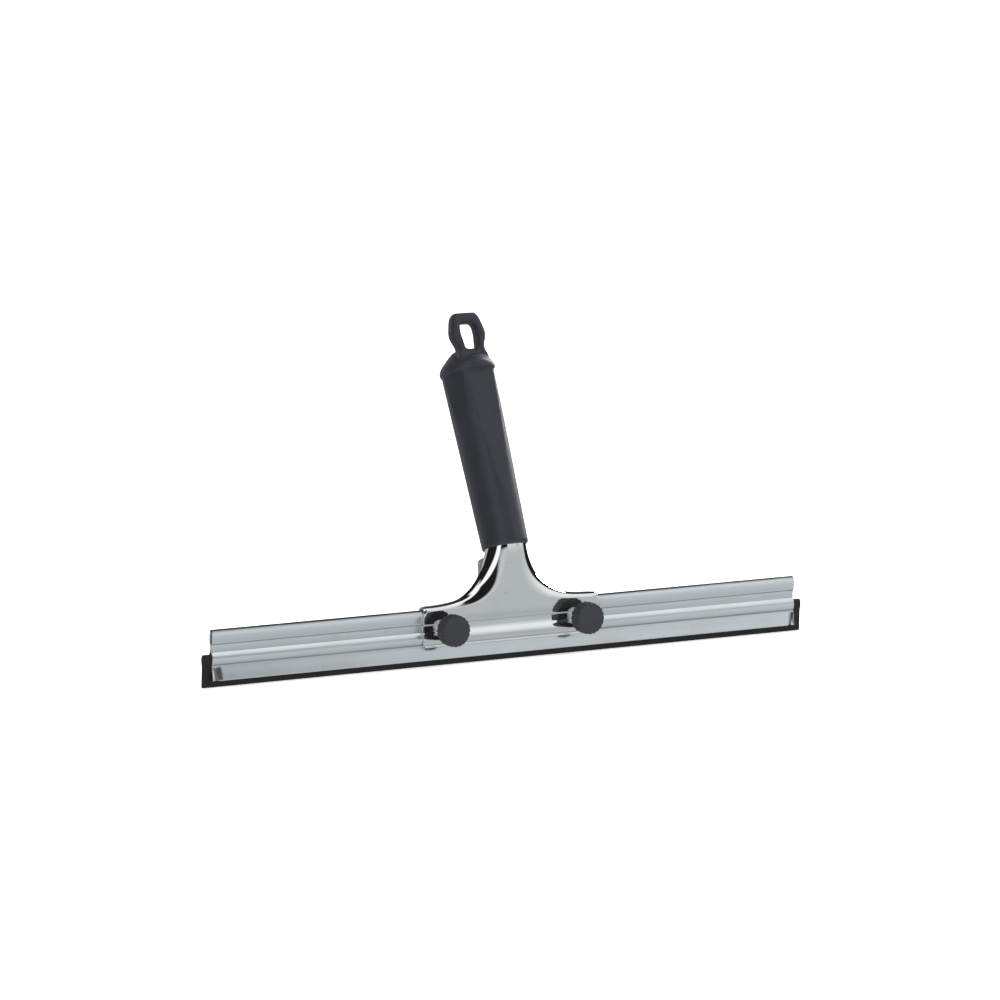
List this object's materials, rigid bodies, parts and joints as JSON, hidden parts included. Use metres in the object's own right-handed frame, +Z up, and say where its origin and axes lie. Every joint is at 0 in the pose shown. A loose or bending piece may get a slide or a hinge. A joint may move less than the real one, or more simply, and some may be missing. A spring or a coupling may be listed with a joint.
{
  "type": "window cleaning squeegee",
  "caption": "Window squeegee: rubber blade in a folded steel channel, clamped by knob screws between two pressed jaws on a raked grip with a hanging eye.",
  "frame": {"origin": "middle of the rubber blade's wiping edge", "axes": "+X along the blade, +Z up from the wiping edge through the channel, knobs face -Y and the grip leans back towards +Y"},
  "size_m": [0.45, 0.0918, 0.215],
  "materials": {
    "grip_rubber": "satin moulded charcoal",
    "core_plastic": "moulded",
    "jaw_chrome": "polished plate",
    "jaw_steel": "plated, duller than the front",
    "fixing_steel": "bright zinc",
    "channel_zinc": "satin zinc-coated sheet",
    "blade_rubber": "matt black",
    "knob_plastic": "matt moulded charcoal",
    "collar_chrome": "bright turned"
  },
  "bodies": {
    "handle": {"grip": "grip_rubber", "handle_core": "core_plastic", "front_jaw": "jaw_chrome", "rivet_lower": "fixing_steel", "rivet_upper": "fixing_steel"},
    "rear_clamp": {"rear_jaw": "jaw_steel", "nut_left": "fixing_steel", "nut_right": "fixing_steel"},
    "channel": {"channel": "channel_zinc"},
    "blade": {"blade": "blade_rubber"},
    "collar_left": {"collar_left": "collar_chrome"},
    "knob_left": {"knob_left": "knob_plastic", "screw_left": "fixing_steel"},
    "collar_right": {"collar_right": "collar_chrome"},
    "knob_right": {"knob_right": "knob_plastic", "screw_right": "fixing_steel"}
  },
  "joints": [
    {"name": "rear_jaw_tilt", "type": "hinge", "parent": "handle", "child": "rear_clamp", "pos_m": [0, 0.0092, 0.0635], "axis": [1, 0, 0], "range_deg": [0, 2.5]},
    {"name": "channel_slide", "type": "slide", "parent": "handle", "child": "channel", "axis": [1, 0, 0], "range_m": [-0.008, 0.008]},
    {"name": "blade_slide", "type": "slide", "parent": "channel", "child": "blade", "axis": [1, 0, 0], "range_m": [-0.446, 0.446]},
    {"name": "knob_left_travel", "type": "slide", "parent": "handle", "child": "collar_left", "axis": [0, -1, 0], "range_m": [0, 0.00245]},
    {"name": "knob_left_turn", "type": "hinge", "parent": "collar_left", "child": "knob_left", "pos_m": [-0.0505, -0.0144, 0.0244], "axis": [0, -1, 0], "range_deg": [0, 1080]},
    {"name": "knob_right_travel", "type": "slide", "parent": "handle", "child": "collar_right", "axis": [0, -1, 0], "range_m": [0, 0.00245]},
    {"name": "knob_right_turn", "type": "hinge", "parent": "collar_right", "child": "knob_right", "pos_m": [0.0505, -0.0144, 0.0244], "axis": [0, -1, 0], "range_deg": [0, 1080]}
  ],
  "couplings": [
    {"joint": "knob_left_travel", "follows": "knob_left_turn", "m_per_rad": 0.00012732},
    {"joint": "knob_right_travel", "follows": "knob_right_turn", "m_per_rad": 0.00012732}
  ]
}
